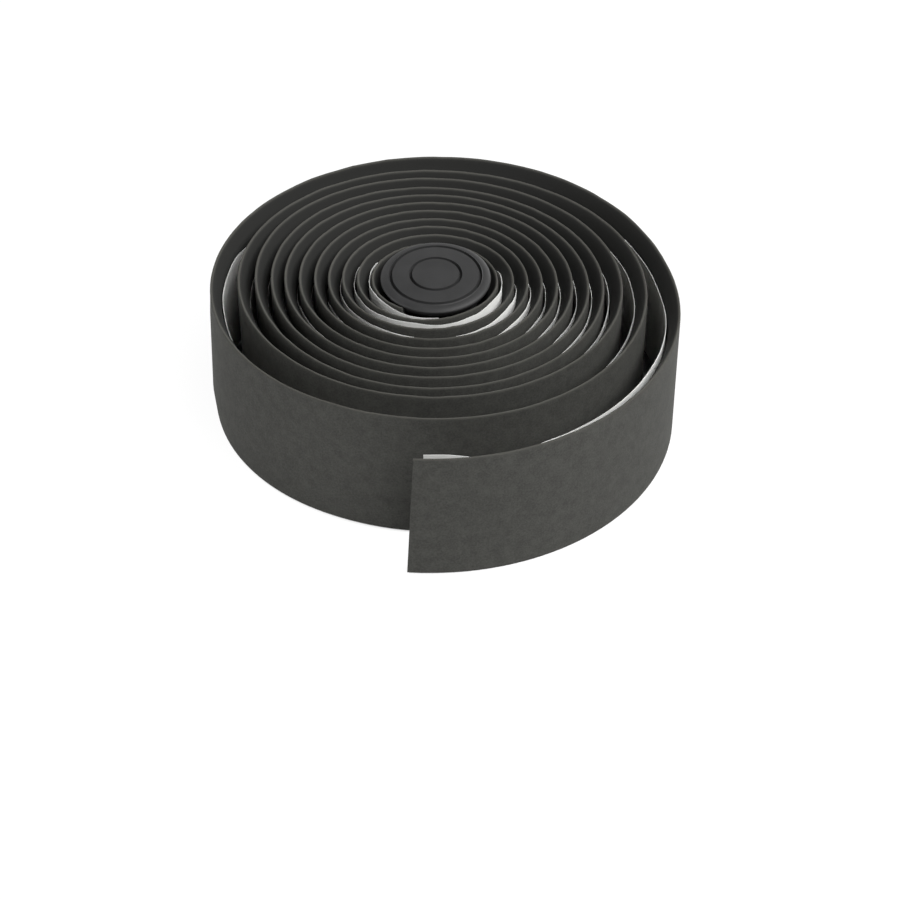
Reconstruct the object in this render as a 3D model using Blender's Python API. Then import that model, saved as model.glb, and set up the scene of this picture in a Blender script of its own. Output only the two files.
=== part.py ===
"""Roll of handlebar tape that stands on its edge, with its bar end plug pressed into the middle.

Units are metres and +Z is up. The origin lies under the middle of the roll, on the surface it stands on.
The roll is wound counter-clockwise from its loose outer end at the front, seen from above.
"""
from math import cos, exp, pi, radians, sin

import bmesh
import bpy

# Tape: a foam strip whose two long edges are skived thin on the inner side
TAPE_WIDTH = 0.030
TAPE_THICKNESS = 0.0021
RIM_WIDTH = 0.0004
SKIVE_HEIGHT = 0.0016
SKIVE_CROWN = 0.00012

# Backing paper on the adhesive inner face
PAPER_THICKNESS = 0.00015
PAPER_EDGE_INSET = 0.0019
PAPER_OUTER_SHORT = 0.0026
PAPER_INNER_SHORT_TURNS = 0.92
CLEARANCE = 0.0003

# Winding
TURNS = 10.93
OUTER_END_ANGLE = radians(-94)
TURN_SLACK = 0.0004
CORE_EASE_TURNS = 0.10
OVAL = 0.0005
OVAL_ANGLE = radians(-55)
OVAL_FADE_TURNS = 4.0

# The loose outer end springs off the roll, and the turn under it lies looser than the rest
TAIL_SPRING = 0.0097
TAIL_SPRING_TURNS = 0.39
LOOSE_TURN = 0.00335
LOOSE_UNTIL_TURN = 1.2
TIGHT_FROM_TURN = 1.51
TAIL_CUT_SLANT = 0.0017

# Where the winding lies in or out of its even spiral: the middle and reach in turns, and how far out
SLACK = (
    (0.66, 0.26, -0.00145),
    (1.08, 0.15, 0.0007),
    (1.27, 0.12, -0.0003),
    (1.60, 0.25, 0.0004),
    (1.85, 0.20, -0.0004),
    (2.22, 0.25, 0.00095),
    (2.62, 0.18, 0.0006),
    (2.82, 0.18, -0.0009),
    (3.10, 0.25, 0.0005),
    (3.44, 0.18, -0.0006),
    (3.80, 0.20, -0.0009),
    (4.20, 0.15, 0.0003),
    (4.42, 0.20, -0.0003),
    (4.82, 0.20, -0.0006),
    (5.80, 0.25, -0.0004),
    (6.75, 0.25, -0.0004),
    (7.65, 0.25, -0.0003),
    (8.40, 0.30, 0.0002),
    (9.08, 0.20, -0.0003),
    (9.35, 0.35, 0.0003),
)

# Bar end plug: a moulded head on a hollow stem with soft fins
HEAD_RADIUS = 0.0119
HEAD_EDGE_DEPTH = 0.0008
HEAD_THICKNESS = 0.0015
HEAD_UNDERCUT = 0.0016
HEAD_LAP = 0.0014
HEAD_STAND_OFF = 0.00042
HEAD_CROWN = 0.0002
GROOVE_INSET = 0.0022
INNER_GROOVE_RADIUS = 0.0054
GROOVE_WIDTH = 0.0005
GROOVE_DEPTH = 0.0004
STEM_LENGTH = 0.0170
STEM_RADIUS = 0.0068
BORE_RADIUS = 0.0050
BORE_ROOF = 0.0020
FIN_COUNT = 4
FIN_PLAY = 0.0015
FIN_THICKNESS = 0.0009
FIN_SWEEP = 0.0009
FIRST_FIN_SHARE = 0.55
TIP_CHAMFER = 0.0008
PLUG_TILT = radians(4)
PLUG_SHIFT_X = 0.0010
PLUG_SHIFT_Y = -0.0007

# Mesh fineness
STEPS_PER_TURN = 36
PLUG_SEGMENTS = 36
RIM_STEPS = 4
SHARP_ANGLE = radians(35)

# Sizes that follow from the ones above
TURN_PITCH = TAPE_THICKNESS + PAPER_THICKNESS + 2 * CLEARANCE + TURN_SLACK
HOLLOW_RADIUS = HEAD_RADIUS - HEAD_LAP
FIN_RADIUS = HOLLOW_RADIUS - FIN_PLAY


def ease(value):
    """Smooth step from 0 to 1."""
    value = min(max(value, 0.0), 1.0)
    return value * value * (3 - 2 * value)


def winding_angle(turn):
    """Angle round the roll, counted in turns from the loose outer end."""
    return OUTER_END_ANGLE + 2 * pi * turn


def outer_face_radius(turn):
    """Radius of the tape's outer face; the innermost turn hugs the plug."""
    wound = TURNS - turn
    packed = wound - CORE_EASE_TURNS * (1 - exp(-wound / CORE_EASE_TURNS))
    radius = HOLLOW_RADIUS + TAPE_THICKNESS + TURN_PITCH * packed
    radius += TAIL_SPRING * ease(1 - turn / TAIL_SPRING_TURNS)
    radius += LOOSE_TURN * ease((TIGHT_FROM_TURN - turn) / (TIGHT_FROM_TURN - LOOSE_UNTIL_TURN))
    radius += sum(out * ease(1 - abs(turn - middle) / reach) for middle, reach, out in SLACK)
    oval = OVAL * ease(wound / OVAL_FADE_TURNS)
    return radius + oval * cos(2 * (winding_angle(turn) - OVAL_ANGLE))


def paper_ends():
    """First and last turn value of the backing paper, both short of the tape's ends."""
    start = PAPER_OUTER_SHORT / (2 * pi * outer_face_radius(0))
    return start, TURNS - PAPER_INNER_SHORT_TURNS


def stations():
    """Turn values of the cross-sections, with one at each end of the paper."""
    step = 1 / STEPS_PER_TURN
    regular = [index * step for index in range(int(TURNS * STEPS_PER_TURN) + 1)]
    extra = [*paper_ends(), TURNS]
    kept = [turn for turn in regular if all(abs(turn - other) > step / 5 for other in extra)]
    return sorted(kept + extra)


def tape_profile():
    """Section as (depth below the outer face, height): top edge, then bottom edge."""
    run = TAPE_THICKNESS - RIM_WIDTH
    upper = [
        (0, TAPE_WIDTH),
        (RIM_WIDTH, TAPE_WIDTH),
        (RIM_WIDTH + run / 2, TAPE_WIDTH - SKIVE_HEIGHT / 2 + SKIVE_CROWN),
        (TAPE_THICKNESS, TAPE_WIDTH - SKIVE_HEIGHT),
    ]
    lower = [(depth, TAPE_WIDTH - height) for depth, height in reversed(upper)]
    return upper + lower


def paper_profile():
    """Section of the paper, just clear of the tape's inner face."""
    near = TAPE_THICKNESS + CLEARANCE
    far = near + PAPER_THICKNESS
    top = TAPE_WIDTH - PAPER_EDGE_INSET
    return [(near, top), (far, top), (far, PAPER_EDGE_INSET), (near, PAPER_EDGE_INSET)]


def add_object(name, mesh, material, location):
    mesh.shade_smooth()
    mesh.set_sharp_from_angle(angle=SHARP_ANGLE)
    mesh.materials.append(material)
    part = bpy.data.objects.new(name, mesh)
    part.location = location
    bpy.context.collection.objects.link(part)
    return part


def wound_strip(name, profile, turns, slant=0.0):
    """Sweep a closed profile along the winding; slant leans the cut at the outer end."""
    shape = bmesh.new()
    rings = []
    for turn in turns:
        outer = outer_face_radius(turn)
        ring = []
        for depth, height in profile:
            lean = slant * (1 - height / TAPE_WIDTH) / outer if turn == turns[0] else 0.0
            angle = winding_angle(turn) - lean
            radius = outer - depth
            ring.append(shape.verts.new((radius * cos(angle), radius * sin(angle), height)))
        rings.append(ring)
    count = len(profile)
    for ring, following in zip(rings, rings[1:]):
        for index in range(count):
            after = (index + 1) % count
            shape.faces.new((ring[index], ring[after], following[after], following[index]))
    shape.faces.new(reversed(rings[0]))
    shape.faces.new(rings[-1])
    bmesh.ops.triangulate(shape, faces=shape.faces)
    bmesh.ops.recalc_face_normals(shape, faces=shape.faces)
    mesh = bpy.data.meshes.new(name)
    shape.to_mesh(mesh)
    shape.free()
    return mesh


def groove(radius):
    """Profile points of one ring groove with sloping walls, from its inner to its outer lip."""
    half = GROOVE_WIDTH / 2
    surface = HEAD_CROWN * (1 - (radius / HEAD_RADIUS) ** 2)
    return [
        (radius - half, surface),
        (radius - half / 2, surface - GROOVE_DEPTH),
        (radius + half / 2, surface - GROOVE_DEPTH),
        (radius + half, surface),
    ]


def plug_profile():
    """Half section of the plug from the middle of its face, over the rim and fins, and up the bore."""
    points = [(0, HEAD_CROWN)]
    points += groove(INNER_GROOVE_RADIUS)
    points += groove(HEAD_RADIUS - GROOVE_INSET)
    rim_start = HEAD_RADIUS - HEAD_EDGE_DEPTH
    for step in range(RIM_STEPS + 1):
        angle = pi / 2 * (1 - step / RIM_STEPS)
        points.append((rim_start + HEAD_EDGE_DEPTH * cos(angle), HEAD_EDGE_DEPTH * (sin(angle) - 1)))
    points.append((HEAD_RADIUS - HEAD_UNDERCUT, -HEAD_THICKNESS))
    points.append((STEM_RADIUS, -HEAD_THICKNESS))
    fin_pitch = (STEM_LENGTH - TIP_CHAMFER) / FIN_COUNT
    for index in range(FIN_COUNT):
        root = -HEAD_THICKNESS - fin_pitch * (index + FIRST_FIN_SHARE)
        points += [
            (STEM_RADIUS, root + FIN_THICKNESS),
            (FIN_RADIUS, root + FIN_THICKNESS / 2 + FIN_SWEEP),
            (FIN_RADIUS, root + FIN_SWEEP),
            (STEM_RADIUS, root - FIN_THICKNESS / 2),
        ]
    tip = -HEAD_THICKNESS - STEM_LENGTH
    points += [
        (STEM_RADIUS, tip + TIP_CHAMFER),
        (STEM_RADIUS - TIP_CHAMFER, tip),
        (BORE_RADIUS, tip),
        (BORE_RADIUS, -BORE_ROOF),
        (0, -BORE_ROOF),
    ]
    return points


def turned_plug(name):
    """Spin the half section a full turn about Z."""
    shape = bmesh.new()
    verts = [shape.verts.new((radius, 0, height)) for radius, height in plug_profile()]
    edges = [shape.edges.new(pair) for pair in zip(verts, verts[1:])]
    bmesh.ops.spin(
        shape, geom=verts + edges, cent=(0, 0, 0), axis=(0, 0, 1), angle=2 * pi,
        steps=PLUG_SEGMENTS, use_merge=True, use_duplicate=False,
    )
    bmesh.ops.remove_doubles(shape, verts=shape.verts, dist=1e-6)
    bmesh.ops.triangulate(shape, faces=shape.faces)
    bmesh.ops.recalc_face_normals(shape, faces=shape.faces)
    mesh = bpy.data.meshes.new(name)
    shape.to_mesh(mesh)
    shape.free()
    return mesh


def material(name, colour, roughness):
    made = bpy.data.materials.new(name)
    made.use_nodes = True
    shader = made.node_tree.nodes["Principled BSDF"]
    shader.inputs["Base Color"].default_value = (*colour, 1)
    shader.inputs["Roughness"].default_value = roughness
    shader.inputs["Metallic"].default_value = 0
    made.diffuse_color = (*colour, 1)
    return made


def seat_height():
    """Height of the plug's face: its rim clears the skived edge it laps, also on its lower side."""
    share = (HEAD_LAP - RIM_WIDTH) / (TAPE_THICKNESS - RIM_WIDTH)
    skive = TAPE_WIDTH - SKIVE_HEIGHT * (1 - share)
    return skive + HEAD_STAND_OFF + HEAD_EDGE_DEPTH + HEAD_RADIUS * sin(PLUG_TILT)


def main():
    for old in list(bpy.data.objects):
        bpy.data.objects.remove(old, do_unlink=True)

    turns = stations()
    first, last = paper_ends()
    tape_mesh = wound_strip("tape", tape_profile(), turns, TAIL_CUT_SLANT)
    paper_turns = [turn for turn in turns if first <= turn <= last]
    paper_mesh = wound_strip("backing_paper", paper_profile(), paper_turns)

    xs = [vert.co.x for vert in tape_mesh.vertices]
    ys = [vert.co.y for vert in tape_mesh.vertices]
    axis_x = -(min(xs) + max(xs)) / 2
    axis_y = -(min(ys) + max(ys)) / 2

    foam = material("foam", (0.050, 0.050, 0.047), 0.85)
    paper = material("paper", (0.87, 0.87, 0.85), 0.6)
    plastic = material("plastic", (0.070, 0.070, 0.074), 0.45)

    add_object("tape", tape_mesh, foam, (axis_x, axis_y, 0))
    add_object("backing_paper", paper_mesh, paper, (axis_x, axis_y, 0))
    place = (axis_x + PLUG_SHIFT_X, axis_y + PLUG_SHIFT_Y, seat_height())
    plug = add_object("end_plug", turned_plug("end_plug"), plastic, place)
    plug.rotation_euler = (PLUG_TILT, 0, 0)


main()
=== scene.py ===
from math import cos, pi, radians, sin

import bmesh
import bpy
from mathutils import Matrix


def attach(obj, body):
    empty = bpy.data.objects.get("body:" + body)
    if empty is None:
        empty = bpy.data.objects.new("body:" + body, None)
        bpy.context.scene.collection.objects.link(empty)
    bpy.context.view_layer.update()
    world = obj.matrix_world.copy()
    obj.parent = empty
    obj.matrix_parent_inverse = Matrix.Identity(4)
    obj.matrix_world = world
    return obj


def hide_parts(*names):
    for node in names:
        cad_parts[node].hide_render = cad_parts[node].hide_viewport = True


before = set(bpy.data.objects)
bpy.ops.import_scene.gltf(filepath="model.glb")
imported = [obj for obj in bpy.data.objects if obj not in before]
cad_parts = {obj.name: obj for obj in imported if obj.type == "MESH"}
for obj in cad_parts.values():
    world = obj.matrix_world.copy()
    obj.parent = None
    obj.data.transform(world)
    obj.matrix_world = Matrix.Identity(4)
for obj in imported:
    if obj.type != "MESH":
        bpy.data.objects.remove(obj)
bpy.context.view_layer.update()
MM = 0.001


# The tape: one strip of closed-cell foam, 30 mm wide, with both long edges skived on the adhesive
# side so that its laps lie flat on a bar. It is wound tightly round the plug, the turn under its
# outer end is loose, and the last third of a turn has sprung off the roll.
TAPE_WIDTH = 30.0 * MM
TAPE_THICKNESS = 2.1 * MM
FOAM_SWELL = 0.4 * MM
ROLL_AXIS = (-2.757 * MM, 5.956 * MM)
TURNS = 10.93
TURN_PITCH = 3.25 * MM
HOLLOW_RADIUS = 10.5 * MM
OUTER_END_ANGLE = radians(-94)
CORE_EASE_TURNS = 0.10
OVAL = 0.5 * MM
OVAL_ANGLE = radians(-55)
OVAL_FADE_TURNS = 4.0
TAIL_SPRING = 9.7 * MM
TAIL_SPRING_TURNS = 0.39
LOOSE_TURN = 3.35 * MM
LOOSE_UNTIL_TURN = 1.2
TIGHT_FROM_TURN = 1.51
TAIL_CUT_SLANT = 1.7 * MM
TAIL_CUT_TURNS = 0.03
TAIL_TRIM_TURNS = 0.003
FOOT_SPLAY = 0.4 * MM
SIDE_BOW = 0.95 * MM
BOW_AT_TURN = 0.80
BOW_REACH_TURNS = 0.16
BOW_FULL_BELOW = 0.4
EDGE_WAVE = 0.3 * MM
EDGE_WAVES_PER_TURN = 9.0
STEPS_PER_TURN = 144

# Where the winding lies in or out of its even spiral: the middle and reach in turns, and how far
# out in millimetres
SLACK = (
    (0.09, 0.20, 0.35),
    (0.28, 0.07, -0.3),
    (0.38, 0.09, 0.3),
    (0.66, 0.26, -1.45),
    (1.08, 0.15, 0.7),
    (1.27, 0.12, -0.3),
    (1.60, 0.25, 0.4),
    (1.85, 0.20, -0.4),
    (2.22, 0.25, 0.95),
    (2.62, 0.18, 0.6),
    (2.82, 0.18, -0.9),
    (3.10, 0.25, 0.5),
    (3.44, 0.18, -0.6),
    (3.80, 0.20, -0.9),
    (4.20, 0.15, 0.3),
    (4.42, 0.20, -0.3),
    (4.82, 0.20, -0.6),
    (5.80, 0.25, -0.4),
    (6.75, 0.25, -0.4),
    (7.65, 0.25, -0.3),
    (8.40, 0.30, 0.2),
    (9.08, 0.20, -0.3),
    (9.35, 0.35, 0.3),
    (10.10, 0.14, -0.5),
)
SHARP_ANGLE = radians(38)

# Half of the section, from the outer face over the rim and down the skive, in millimetres:
# depth below the outer face, drop below the top edge, and how much painted highlight the rim gets
# there.
# The inner face is 2.5 mm deep, the thickness of the tape with its swell.
EDGE_SECTION = (
    (0.00, 6.00, 0.0),
    (0.00, 1.20, 0.0),
    (0.00, 0.50, 0.1),
    (0.03, 0.20, 0.7),
    (0.11, 0.05, 1.0),
    (0.25, 0.00, 1.0),
    (0.40, 0.05, 1.0),
    (0.56, 0.22, 0.4),
    (0.72, 0.52, 0.05),
    (1.00, 1.10, 0.0),
    (1.40, 1.90, 0.0),
    (1.85, 2.70, 0.0),
    (2.25, 3.35, 0.0),
    (2.46, 3.80, 0.0),
    (2.50, 4.20, 0.0),
    (2.50, 6.00, 0.0),
    (2.50, 9.00, 0.0),
)


class Wire:
    """One output in a node tree. Sums and products of wires add that tree's Math nodes."""

    def __init__(self, tree, socket=None):
        self.tree = tree
        self.socket = socket

    def node(self, kind, settings=None, sockets=None, output=0):
        """Any other node: its type, its settings, then the values or wires of its sockets."""
        made = self.tree.nodes.new(kind)
        for name, value in (settings or {}).items():
            if name == "stops":
                for extra in range(len(value) - 2):
                    made.color_ramp.elements.new(0.5)
                for element, (place, colour) in zip(made.color_ramp.elements, value):
                    element.position = place
                    element.color = colour
            else:
                setattr(made, name, value)
        for key, value in (sockets or {}).items():
            if isinstance(value, Wire):
                self.tree.links.new(value.socket, made.inputs[key])
            else:
                made.inputs[key].default_value = value
        return Wire(self.tree, made.outputs[output] if made.outputs else None)

    def out(self, name):
        """Another output of the node that this wire comes from."""
        return Wire(self.tree, self.socket.node.outputs[name])

    def maths(self, operation, *others):
        """A Math node's result, with this wire as the node's first value."""
        values = dict(enumerate((self, *others)))
        return self.node("ShaderNodeMath", {"operation": operation}, values)

    def __add__(self, other):
        return self.maths("ADD", other)

    __radd__ = __add__

    def __sub__(self, other):
        return self.maths("SUBTRACT", other)

    def __rsub__(self, other):
        return self.node("ShaderNodeMath", {"operation": "SUBTRACT"}, {0: other, 1: self})

    def __mul__(self, other):
        return self.maths("MULTIPLY", other)

    __rmul__ = __mul__

    def __truediv__(self, other):
        return self.maths("DIVIDE", other)

    def ease(self, start=0.0, end=1.0):
        """Smooth step from 0 at start to 1 at end."""
        settings = {"interpolation_type": "SMOOTHSTEP"}
        return self.node("ShaderNodeMapRange", settings, {0: self, 1: start, 2: end})

    def swell(self, middle, reach):
        """Smooth hump, 1 at the middle and 0 from its reach on."""
        return (1 - (self - middle).maths("ABSOLUTE") / reach).ease()


def winding_angle(turn, size):
    """Angle round the roll's axis at a turn counted from the loose end."""
    return size["Outer end angle"] + turn * (2 * pi)


def outer_face_radius(turn, size, slack=SLACK):
    """Radius of the tape's outer face at a turn counted from the loose end."""
    wound = size["Turns"] - turn
    eased = 1 - (wound * (-1 / CORE_EASE_TURNS)).maths("EXPONENT")
    packed = wound - eased * CORE_EASE_TURNS
    radius = size["Hollow radius"] + size["Thickness"] + size["Pitch"] * packed
    radius = radius + size["Tail spring"] * (1 - turn / TAIL_SPRING_TURNS).ease()
    radius = radius + size["Loose turn"] * (1 - turn.ease(LOOSE_UNTIL_TURN, TIGHT_FROM_TURN))
    for middle, reach, out in slack:
        radius = radius + turn.swell(middle, reach) * (out * MM)
    oval = size["Oval"] * wound.ease(0.0, OVAL_FADE_TURNS)
    lean = (winding_angle(turn, size) - OVAL_ANGLE) * 2
    return radius + oval * lean.maths("COSINE")


def outline_object(name, points):
    """Closed outline of a strip's section: X is the depth, Y the height, with its rim share."""
    mesh = bpy.data.meshes.new(name)
    count = len(points)
    edges = [(index, (index + 1) % count) for index in range(count)]
    mesh.from_pydata([(depth, height, 0) for depth, height, rim in points], edges, [])
    share = mesh.attributes.new("rim", "FLOAT", "POINT")
    share.data.foreach_set("value", [rim for depth, height, rim in points])
    strip = bpy.data.objects.new(name, mesh)
    bpy.context.collection.objects.link(strip)
    return strip


def wind(strip, sizes, finish, shaped):
    """Sweep the strip's outline along the winding, and leave it as a plain mesh."""
    tree = bpy.data.node_groups.new(strip.name + "_winding", "GeometryNodeTree")
    tree.interface.new_socket("Section", in_out="INPUT", socket_type="NodeSocketGeometry")
    for name in sizes:
        tree.interface.new_socket(name, in_out="INPUT", socket_type="NodeSocketFloat")
    tree.interface.new_socket("Finish", in_out="INPUT", socket_type="NodeSocketMaterial")
    tree.interface.new_socket("Strip", in_out="OUTPUT", socket_type="NodeSocketGeometry")
    start = Wire(tree).node("NodeGroupInput")
    size = {name: start.out(name) for name in sizes}

    first = start.node("ShaderNodeCombineXYZ", None, {"X": size["First turn"]})
    last = start.node("ShaderNodeCombineXYZ", None, {"X": size["Last turn"]})
    line = start.node("GeometryNodeCurvePrimitiveLine", None, {"Start": first, "End": last})
    count = (size["Last turn"] - size["First turn"]) * STEPS_PER_TURN
    path = start.node("GeometryNodeResampleCurve", None, {"Curve": line, "Count": count})
    place = start.node("GeometryNodeInputPosition")
    along = start.node("ShaderNodeSeparateXYZ", None, {0: place})
    path = stored(path, "turn", along.out("X"))
    section = start.node("GeometryNodeMeshToCurve", None, {"Mesh": start.out("Section")})
    section = stored(section, "depth", along.out("X"))
    section = stored(section, "height", along.out("Y"))
    swept = start.node(
        "GeometryNodeCurveToMesh", None,
        {"Curve": path, "Profile Curve": section, "Fill Caps": True},
    )

    turn = named(start, "turn")
    depth, height = shaped(turn, named(start, "depth"), named(start, "height"), size)
    radius = outer_face_radius(turn, size) - depth
    cut = 1 - (turn / TAIL_CUT_TURNS).maths("MINIMUM", 1.0)
    lean = size["Cut slant"] * cut * (1 - height / TAPE_WIDTH) / radius
    angle = winding_angle(turn, size) - lean
    position = start.node("ShaderNodeCombineXYZ", None, {
        "X": radius * angle.maths("COSINE") + ROLL_AXIS[0],
        "Y": radius * angle.maths("SINE") + ROLL_AXIS[1],
        "Z": height,
    })
    wound = start.node("GeometryNodeSetPosition", None, {"Geometry": swept, "Position": position})
    wound = start.node("GeometryNodeRealizeInstances", None, {"Geometry": wound})
    wound = start.node(
        "GeometryNodeSetMaterial", None, {"Geometry": wound, "Material": start.out("Finish")})
    wound.node("NodeGroupOutput", None, {"Strip": wound})

    modifier = strip.modifiers.new("winding", "NODES")
    modifier.node_group = tree
    for item in tree.interface.items_tree:
        if item.in_out == "INPUT" and item.name in sizes:
            modifier[item.identifier] = sizes[item.name]
        elif item.name == "Finish":
            modifier[item.identifier] = finish
    return settled(strip)


def stored(geometry, name, value):
    """Keep a value on the points under a name that the sweep carries along."""
    return geometry.node(
        "GeometryNodeStoreNamedAttribute", {"data_type": "FLOAT", "domain": "POINT"},
        {"Geometry": geometry, "Name": name, "Value": value},
    )


def named(wire, name):
    """The value kept on the points under a name."""
    return wire.node("GeometryNodeInputNamedAttribute", {"data_type": "FLOAT"}, {"Name": name})


def settled(strip):
    """Turn the evaluated strip into a plain mesh with its faces outwards."""
    depsgraph = bpy.context.evaluated_depsgraph_get()
    mesh = bpy.data.meshes.new_from_object(strip.evaluated_get(depsgraph))
    strip.modifiers.clear()
    outline = strip.data
    strip.data = mesh
    bpy.data.meshes.remove(outline)
    shape = bmesh.new()
    shape.from_mesh(mesh)
    bmesh.ops.recalc_face_normals(shape, faces=shape.faces)
    shape.to_mesh(mesh)
    shape.free()
    mesh.shade_smooth()
    mesh.set_sharp_from_angle(angle=SHARP_ANGLE)
    return strip


FOAM_COLOUR = (0.050, 0.050, 0.0455, 1)
FOAM_PALE = (0.060, 0.060, 0.0545, 1)
FOAM_DARK = (0.040, 0.040, 0.0365, 1)
SKIVE_COLOUR = (0.017, 0.017, 0.016, 1)
SKIVE_FROM, SKIVE_FULL = 0.35 * MM, 0.65 * MM
# Painted highlight: the paler colour of the rim, where light catches its rounded top edge
RIM_HIGHLIGHT = (0.058, 0.057, 0.051, 1)
FOAM_PORES_PER_METRE = 2600.0
FOAM_CLOUDS_PER_METRE = 420.0
FOAM_PORE_DEPTH = 0.06 * MM


def new_material(name):
    """A material with its shader, and a wire to build its nodes from."""
    made = bpy.data.materials.new(name)
    made.use_nodes = True
    shader = made.node_tree.nodes["Principled BSDF"]
    return made, shader, Wire(made.node_tree)


def noise(place, scale, detail):
    """Even cloudy noise, as many clouds a metre as the scale."""
    settings = {"Vector": place, "Scale": scale, "Detail": detail}
    return place.node("ShaderNodeTexNoise", None, settings)


def foam():
    """Closed-cell foam: fine speckle, soft mottling, dark where it is skived, and a painted
    highlight along the rim.
    """
    made, shader, wire = new_material("foam")
    place = wire.node("ShaderNodeTexCoord", None, None, "Object")
    fine = noise(place, FOAM_PORES_PER_METRE, 2.0)
    broad = noise(place, FOAM_CLOUDS_PER_METRE, 3.0)
    shade = fine * 0.6 + broad * 0.4
    colour = wire.node("ShaderNodeValToRGB", {"stops": (
        (0.36, FOAM_DARK), (0.50, FOAM_COLOUR), (0.64, FOAM_PALE))}, {0: shade})
    depth = wire.node("ShaderNodeAttribute", {"attribute_name": "depth"}, None, "Fac")
    colour = wire.node(
        "ShaderNodeMix", {"data_type": "RGBA"},
        {0: depth.ease(SKIVE_FROM, SKIVE_FULL), 6: colour, 7: SKIVE_COLOUR}, 2)
    # Painted highlight along the rim, made uneven by the broad mottling
    rim = wire.node("ShaderNodeAttribute", {"attribute_name": "rim"}, None, "Fac")
    rim_highlight = rim * (broad * 0.8 + 0.6)
    colour = wire.node(
        "ShaderNodeMix", {"data_type": "RGBA", "clamp_factor": True},
        {0: rim_highlight, 6: colour, 7: RIM_HIGHLIGHT}, 2)
    bump = wire.node(
        "ShaderNodeBump", None, {"Strength": 0.35, "Distance": FOAM_PORE_DEPTH, "Height": shade})
    wire.tree.links.new(colour.socket, shader.inputs["Base Color"])
    wire.tree.links.new(bump.socket, shader.inputs["Normal"])
    shader.inputs["Roughness"].default_value = 0.85
    shader.inputs["Specular IOR Level"].default_value = 0.2
    return made


def section_points():
    """The whole section: up the inner face and over the top, then down and round the bottom."""
    top = [(depth * MM, TAPE_WIDTH - drop * MM, rim) for depth, drop, rim in EDGE_SECTION]
    bottom = [(depth, TAPE_WIDTH - height, rim) for depth, height, rim in reversed(top)]
    return top + bottom


def as_cut(turn, depth, height, size):
    """The tape keeps its section, but its upper edge wavers, and its outer turn bows at the left."""
    wave = turn.node(
        "ShaderNodeTexNoise", {"noise_dimensions": "1D"},
        {"W": turn * EDGE_WAVES_PER_TURN, "Detail": 2.0})
    upper = height.ease(TAPE_WIDTH * 0.6, TAPE_WIDTH)
    down = 1 - height / TAPE_WIDTH
    bow = down * size["Foot splay"] + down * (1 - down) * 4 * size["Side bow"]
    bow = turn.swell(BOW_AT_TURN, BOW_REACH_TURNS) * down.ease(0.0, BOW_FULL_BELOW) * bow
    return depth - bow, height + (wave - 0.5) * upper * size["Edge wave"]


WINDING = {
    "Turns": TURNS,
    "Hollow radius": HOLLOW_RADIUS,
    "Thickness": TAPE_THICKNESS,
    "Pitch": TURN_PITCH,
    "Outer end angle": OUTER_END_ANGLE,
    "Tail spring": TAIL_SPRING,
    "Loose turn": LOOSE_TURN,
    "Oval": OVAL,
}

tape = outline_object("tape_strip", section_points())
tape_sizes = {
    **WINDING, "First turn": TAIL_TRIM_TURNS, "Last turn": TURNS,
    "Cut slant": TAIL_CUT_SLANT, "Edge wave": EDGE_WAVE, "Foot splay": FOOT_SPLAY,
    "Side bow": SIDE_BOW,
}
wind(tape, tape_sizes, foam(), as_cut)
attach(tape, "root")
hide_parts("tape")


# The backing: white release paper on the adhesive side of the tape. It has let go of the foam in
# places, so its upper edge stands up and off the tape here and there, and it ends almost a turn
# before the tape does, against the innermost turn.
PAPER_THICKNESS = 0.07 * MM
PAPER_CLEARANCE = 0.06 * MM
PAPER_DROP = 4.3 * MM
PAPER_DROP_SWING = 1.1 * MM
PAPER_HIGH_SIDE = 0.2
PAPER_FLARE = 0.5 * MM
PAPER_FLARE_AT = 0.17
PAPER_FLARE_REACH = 0.06
PAPER_FLARE_FROM = (2.5, 2.9)
PAPER_LEAN = 0.12 * MM
PAPER_START = 0.008
PAPER_END = TURNS - 0.897
PAPER_ROWS = (0.0, 0.3, 0.5, 0.65, 0.75, 0.83, 0.89, 0.94, 0.975, 1.0)
PAPER_WAVES_PER_TURN = 5.0
PAPER_WAVE_START = 40.0
PAPER_WHITE = (0.92, 0.92, 0.90, 1)
PAPER_OFF_WHITE = (0.87, 0.87, 0.84, 1)
PAPER_FIBRES_PER_METRE = 900.0
PAPER_FIBRE_DEPTH = 0.04 * MM

# Where the edge stands up: it rises from the first turn value to the second, sinks back from the
# third to the fourth, and is this many millimetres higher between them
PAPER_LIFTS = (
    (-1.00, -0.50, 0.016, 0.056, 3.0),
    (0.050, 0.078, 0.160, 0.25, 1.5),
    (0.67, 0.72, 0.78, 0.84, 2.0),
    (4.76, 4.80, 4.885, 4.90, 2.0),
    (6.76, 6.80, 6.885, 6.90, 2.0),
    (7.06, 7.09, 7.21, 7.29, 1.1),
    (7.58, 7.70, 7.90, 8.00, 0.7),
    (7.58, 7.70, 7.985, 8.00, 2.35),
    (7.99, 8.03, 8.21, 8.30, 1.8),
    (8.58, 8.70, 8.95, 9.05, 1.0),
    (8.58, 8.70, 9.28, 9.38, 2.7),
    (9.62, 9.68, 9.84, 9.96, 1.4),
    (9.62, 9.68, 9.90, 10.24, 3.25),
)

# Where it stands off the foam: the middle and reach in turns, and how far in millimetres
PAPER_BULGES = (
    (0.26, 0.14, 0.45),
    (2.24, 0.10, 0.3),
    (5.22, 0.12, 0.1),
    (9.85, 0.25, 0.1),
)


def paper_section():
    """A thin upright strip just inside the tape, with rows where its upper part can bend."""
    near = TAPE_THICKNESS + FOAM_SWELL + PAPER_CLEARANCE
    far = near + PAPER_THICKNESS
    low = PAPER_DROP
    tall = TAPE_WIDTH - 2 * PAPER_DROP
    inner = [(near, low + tall * share, 0.0) for share in PAPER_ROWS]
    outer = [(far, low + tall * share, 0.0) for share in reversed(PAPER_ROWS)]
    return inner + outer


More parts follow.
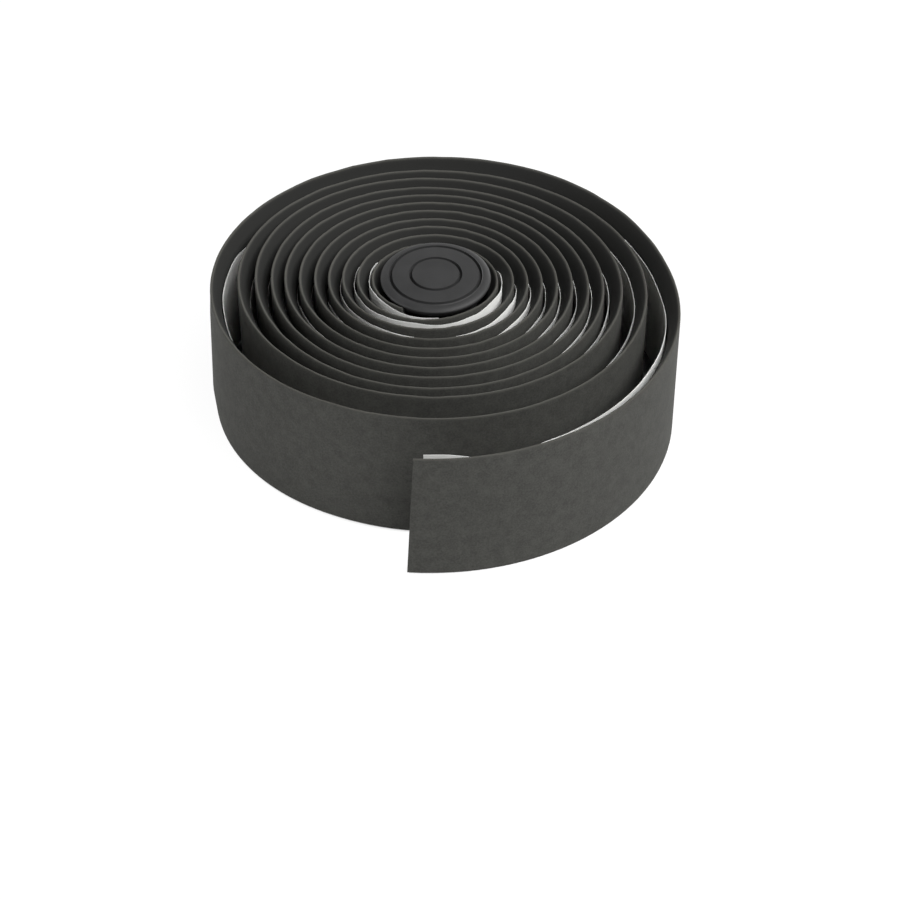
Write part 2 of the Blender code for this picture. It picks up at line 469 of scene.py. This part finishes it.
def as_peeled(turn, depth, height, size):
    """The paper's upper edge rises at its lifts, and stands off the foam at its bulges."""
    upper = height.ease(TAPE_WIDTH * 0.5, TAPE_WIDTH - PAPER_DROP)
    side = (turn - PAPER_HIGH_SIDE) * (2 * pi)
    flare = turn.maths("FRACT").swell(PAPER_FLARE_AT, PAPER_FLARE_REACH)
    flare = flare * turn.ease(*PAPER_FLARE_FROM)
    lift = side.maths("COSINE") * PAPER_DROP_SWING + flare * PAPER_FLARE
    for start, full, until, gone, rise in PAPER_LIFTS:
        lift = lift + turn.ease(start, full) * (1 - turn.ease(until, gone)) * (rise * MM)
    wave = turn.node(
        "ShaderNodeTexNoise", {"noise_dimensions": "1D"},
        {"W": turn * PAPER_WAVES_PER_TURN + PAPER_WAVE_START, "Detail": 0.0})
    bulge = wave.ease(0.4, 0.8) * size["Paper lean"]
    for middle, reach, off in PAPER_BULGES:
        bulge = bulge + turn.swell(middle, reach) * (off * MM)
    return depth + bulge * upper, height + lift * upper


def release_paper():
    """Coated white paper with a faint grain of fibres."""
    made, shader, wire = new_material("release_paper")
    place = wire.node("ShaderNodeTexCoord", None, None, "Object")
    fibre = noise(place, PAPER_FIBRES_PER_METRE, 3.0)
    colour = wire.node(
        "ShaderNodeValToRGB", {"stops": ((0.3, PAPER_OFF_WHITE), (0.7, PAPER_WHITE))}, {0: fibre})
    bump = wire.node(
        "ShaderNodeBump", None, {"Strength": 0.2, "Distance": PAPER_FIBRE_DEPTH, "Height": fibre})
    wire.tree.links.new(colour.socket, shader.inputs["Base Color"])
    wire.tree.links.new(bump.socket, shader.inputs["Normal"])
    shader.inputs["Roughness"].default_value = 0.55
    return made


paper = outline_object("release_paper_strip", paper_section())
paper_sizes = {
    **WINDING, "First turn": PAPER_START, "Last turn": PAPER_END,
    "Cut slant": 0.0, "Paper lean": PAPER_LEAN,
}
wind(paper, paper_sizes, release_paper(), as_peeled)
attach(paper, "root")
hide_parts("backing_paper")


# The bar end plug: one moulding in black plastic, a slightly crowned round head on a hollow stem
# with soft fins that grip inside the bar. Here it is pushed into the middle of the roll, and its
# head lies on the innermost turn. Two plain ring grooves are the only relief on its face.
HEAD_RADIUS = 11.9 * MM
HEAD_EDGE_DEPTH = 0.8 * MM
HEAD_BORDER = 1.7 * MM
HEAD_THICKNESS = 2.9 * MM
HEAD_SKIRT = ((11.6 * MM, 1.5 * MM), (11.2 * MM, 2.2 * MM), (10.5 * MM, HEAD_THICKNESS))
HEAD_CROWN = 0.5 * MM
GROOVE_RADII = (5.4 * MM, 9.7 * MM)
GROOVE_WIDTH = 0.7 * MM
GROOVE_DEPTH = 0.8 * MM
STEM_LENGTH = 17.0 * MM
STEM_RADIUS = 6.8 * MM
BORE_RADIUS = 5.0 * MM
BORE_ROOF = 2.0 * MM
FIN_COUNT = 4
FIN_RADIUS = 9.0 * MM
FIN_THICKNESS = 0.9 * MM
FIN_SWEEP = 0.9 * MM
FIRST_FIN_SHARE = 0.55
TIP_CHAMFER = 0.8 * MM
PLUG_TILT = radians(4)
PLUG_PLACE = (-1.757 * MM, 5.256 * MM, 31.391 * MM)
PLUG_SEGMENTS = 128
RIM_STEPS = 10
GROOVE_STEPS = 6
PLASTIC_DARK = (0.020, 0.020, 0.0202, 1)
PLASTIC_PALE = (0.027, 0.027, 0.0273, 1)
PLASTIC_GRAINS_PER_METRE = 2200.0
PLASTIC_CLOUDS_PER_METRE = 180.0
PLASTIC_GRAIN_DEPTH = 0.04 * MM


def head_surface(radius):
    """Height of the crowned face at a radius."""
    return HEAD_CROWN * (1 - (radius / HEAD_RADIUS) ** 2)


def groove(middle):
    """A ring groove with a rounded floor."""
    points = []
    for step in range(GROOVE_STEPS + 1):
        share = step / GROOVE_STEPS
        radius = middle + GROOVE_WIDTH * (share - 0.5)
        points.append((radius, head_surface(radius) - GROOVE_DEPTH * sin(pi * share)))
    return points


def plug_outline():
    """Half section from the middle of the face, over the rim and fins, and up the bore."""
    points = [(0, HEAD_CROWN)]
    for middle in GROOVE_RADII:
        points += groove(middle)
    for step in range(RIM_STEPS + 1):
        angle = pi / 2 * (1 - step / RIM_STEPS)
        radius = HEAD_RADIUS - HEAD_BORDER * (1 - cos(angle))
        points.append((radius, HEAD_EDGE_DEPTH * (sin(angle) - 1)))
    points += [(radius, -depth) for radius, depth in HEAD_SKIRT]
    points.append((STEM_RADIUS, -HEAD_THICKNESS))
    for index in range(FIN_COUNT):
        fin_pitch = (STEM_LENGTH - TIP_CHAMFER) / FIN_COUNT
        root = -HEAD_THICKNESS - fin_pitch * (index + FIRST_FIN_SHARE)
        points += [
            (STEM_RADIUS, root + FIN_THICKNESS),
            (FIN_RADIUS, root + FIN_THICKNESS / 2 + FIN_SWEEP),
            (FIN_RADIUS, root + FIN_SWEEP),
            (STEM_RADIUS, root - FIN_THICKNESS / 2),
        ]
    tip = -HEAD_THICKNESS - STEM_LENGTH
    points += [
        (STEM_RADIUS, tip + TIP_CHAMFER),
        (STEM_RADIUS - TIP_CHAMFER, tip),
        (BORE_RADIUS, tip),
        (BORE_RADIUS, -BORE_ROOF),
        (0, -BORE_ROOF),
    ]
    return points


def turned_plug():
    """The half section turned round its axis, tilted and put in its place in the roll."""
    (_, face_middle), *section, (_, bore_middle) = plug_outline()
    angles = [2 * pi * step / PLUG_SEGMENTS for step in range(PLUG_SEGMENTS)]
    shape = bmesh.new()
    rings = [
        [shape.verts.new((radius * cos(angle), radius * sin(angle), height)) for angle in angles]
        for radius, height in section
    ]
    for ring, following in zip(rings, rings[1:]):
        for step in range(PLUG_SEGMENTS):
            shape.faces.new((ring[step - 1], ring[step], following[step], following[step - 1]))
    for ring, height in ((rings[0], face_middle), (rings[-1], bore_middle)):
        middle = shape.verts.new((0, 0, height))
        for step in range(PLUG_SEGMENTS):
            shape.faces.new((ring[step - 1], ring[step], middle))
    bmesh.ops.recalc_face_normals(shape, faces=shape.faces)
    for vert in shape.verts:
        across, up = vert.co.y, vert.co.z
        vert.co.x += PLUG_PLACE[0]
        vert.co.y = PLUG_PLACE[1] + across * cos(PLUG_TILT) - up * sin(PLUG_TILT)
        vert.co.z = PLUG_PLACE[2] + across * sin(PLUG_TILT) + up * cos(PLUG_TILT)
    mesh = bpy.data.meshes.new("bar_end_plug")
    shape.to_mesh(mesh)
    shape.free()
    mesh.shade_smooth()
    mesh.set_sharp_from_angle(angle=SHARP_ANGLE)
    return mesh


def moulded_plastic():
    """Black plastic with a fine moulded grain and a slightly uneven sheen."""
    made, shader, wire = new_material("moulded_plastic")
    place = wire.node("ShaderNodeTexCoord", None, None, "Object")
    grain = noise(place, PLASTIC_GRAINS_PER_METRE, 2.0)
    cloud = noise(place, PLASTIC_CLOUDS_PER_METRE, 2.0)
    colour = wire.node(
        "ShaderNodeValToRGB", {"stops": ((0.3, PLASTIC_DARK), (0.7, PLASTIC_PALE))}, {0: cloud})
    bump = wire.node(
        "ShaderNodeBump", None, {"Strength": 0.25, "Distance": PLASTIC_GRAIN_DEPTH, "Height": grain})
    roughness = cloud * 0.1 + 0.42
    wire.tree.links.new(colour.socket, shader.inputs["Base Color"])
    wire.tree.links.new(roughness.socket, shader.inputs["Roughness"])
    wire.tree.links.new(bump.socket, shader.inputs["Normal"])
    shader.inputs["Specular IOR Level"].default_value = 0.22
    return made


plug_mesh = turned_plug()
plug_mesh.materials.append(moulded_plastic())
plug = bpy.data.objects.new("bar_end_plug", plug_mesh)
bpy.context.collection.objects.link(plug)
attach(plug, "root")
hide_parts("end_plug")


# The stand: a plain white sweep under the roll, lit from the right and the front right, and less
# from the left, as in a light tent with a dark top. The camera sees the sweep as white, with a
# soft shadow where the roll meets it.
FLOOR_REACH = 6.0
FLOOR_WHITE = (0.82, 0.82, 0.82, 1)
GLOW_SHARE = 0.90
GLOW_STRENGTH = 1.06
SHADE_START = -0.5 * MM
SHADE_END = 0.5 * MM
SURROUND_LIGHT = 0.03
TOP_DARKNESS = 0.9
TOP_FROM, TOP_FULL = 0.35, 0.95
LAMP_DISTANCE = 1.2

# Name, azimuth and elevation in degrees, size in metres, power in watts
LAMPS = (
    ("key_right", 0, 50, 0.5, 9.5),
    ("key_high", 0, 74, 0.5, 4.5),
    ("back_right", 60, 10, 0.7, 3),
    ("front_right", 302, 48, 0.7, 9),
    ("low_left", 182, 10, 0.7, 5),
    ("fill_left", 215, 42, 0.7, 2.5),
)


def pale_when_seen(tree):
    """1 for rays that show the background, so that it looks white in them too."""
    path = Wire(tree).node("ShaderNodeLightPath")
    seen = path.out("Is Camera Ray") + path.out("Is Glossy Ray") + path.out("Is Transmission Ray")
    return seen.maths("MINIMUM", 1.0)


def white_sweep():
    """Matt white that glows for the camera from just outside the roll's outline on."""
    made = bpy.data.materials.new("white_sweep")
    made.use_nodes = True
    tree = made.node_tree
    tree.nodes.clear()
    wire = Wire(tree)
    matt = wire.node("ShaderNodeBsdfDiffuse", None, {"Color": FLOOR_WHITE})
    glow = wire.node("ShaderNodeEmission", None, {"Strength": GLOW_STRENGTH})
    place = wire.node("ShaderNodeTexCoord", None, None, "Object")
    along = wire.node("ShaderNodeSeparateXYZ", None, {0: place})
    across, back = along.out("X") - ROLL_AXIS[0], along.out("Y") - ROLL_AXIS[1]
    away = (across * across + back * back).maths("SQRT")
    angle = back.maths("ARCTAN2", across) - OUTER_END_ANGLE
    turn = (angle / (2 * pi)).maths("FRACT")
    outermost = [row for row in SLACK if row[0] - row[1] < 1]
    away = away - outer_face_radius(turn, WINDING, outermost)
    share = pale_when_seen(tree) * GLOW_SHARE * away.ease(SHADE_START, SHADE_END)
    both = wire.node("ShaderNodeMixShader", None, {0: share, 1: matt, 2: glow})
    wire.node("ShaderNodeOutputMaterial", None, {"Surface": both})
    return made


floor_mesh = bpy.data.meshes.new("sweep")
corners = [(-1, -1), (1, -1), (1, 1), (-1, 1)]
corners = [(x * FLOOR_REACH, y * FLOOR_REACH, 0) for x, y in corners]
floor_mesh.from_pydata(corners, [], [(0, 1, 2, 3)])
floor_mesh.materials.append(white_sweep())
floor = bpy.data.objects.new("sweep", floor_mesh)
bpy.context.collection.objects.link(floor)

for name, azimuth, elevation, size, power in LAMPS:
    lamp = bpy.data.lights.new(name, "AREA")
    lamp.shape = "DISK"
    lamp.size = size
    lamp.energy = power
    source = bpy.data.objects.new(name, lamp)
    level = LAMP_DISTANCE * cos(radians(elevation))
    source.location = (
        level * cos(radians(azimuth)),
        level * sin(radians(azimuth)),
        LAMP_DISTANCE * sin(radians(elevation)),
    )
    source.rotation_euler = (radians(90 - elevation), 0, radians(azimuth + 90))
    bpy.context.collection.objects.link(source)

world = bpy.data.worlds.new("surround")
world.use_nodes = True
bpy.context.scene.world = world
surround = world.node_tree.nodes["Background"]
strength = pale_when_seen(world.node_tree) * (1 - SURROUND_LIGHT) + SURROUND_LIGHT
ray = strength.node("ShaderNodeLightPath").out("Is Glossy Ray")
facing = strength.node("ShaderNodeTexCoord", None, None, "Generated")
up = strength.node("ShaderNodeSeparateXYZ", None, {0: facing}).out("Z")
strength = strength * (1 - ray * TOP_DARKNESS * up.ease(TOP_FROM, TOP_FULL))
surround.inputs["Color"].default_value = (1, 1, 1, 1)
world.node_tree.links.new(strength.socket, surround.inputs["Strength"])


# The camera: a long lens that looks down at the roll from the front, half a metre away.
CAMERA_PLACE = (1.32 * MM, -400.85 * MM, 317.06 * MM)
CAMERA_PITCH = radians(39.464)
CAMERA_LENS = 92.19

lens = bpy.data.cameras.new("camera")
lens.sensor_width = 36.0
lens.lens = CAMERA_LENS
camera = bpy.data.objects.new("camera", lens)
camera.location = CAMERA_PLACE
camera.rotation_euler = (pi / 2 - CAMERA_PITCH, 0, 0)
bpy.context.collection.objects.link(camera)
bpy.context.scene.camera = camera
bpy.context.scene.view_settings.view_transform = "Standard"
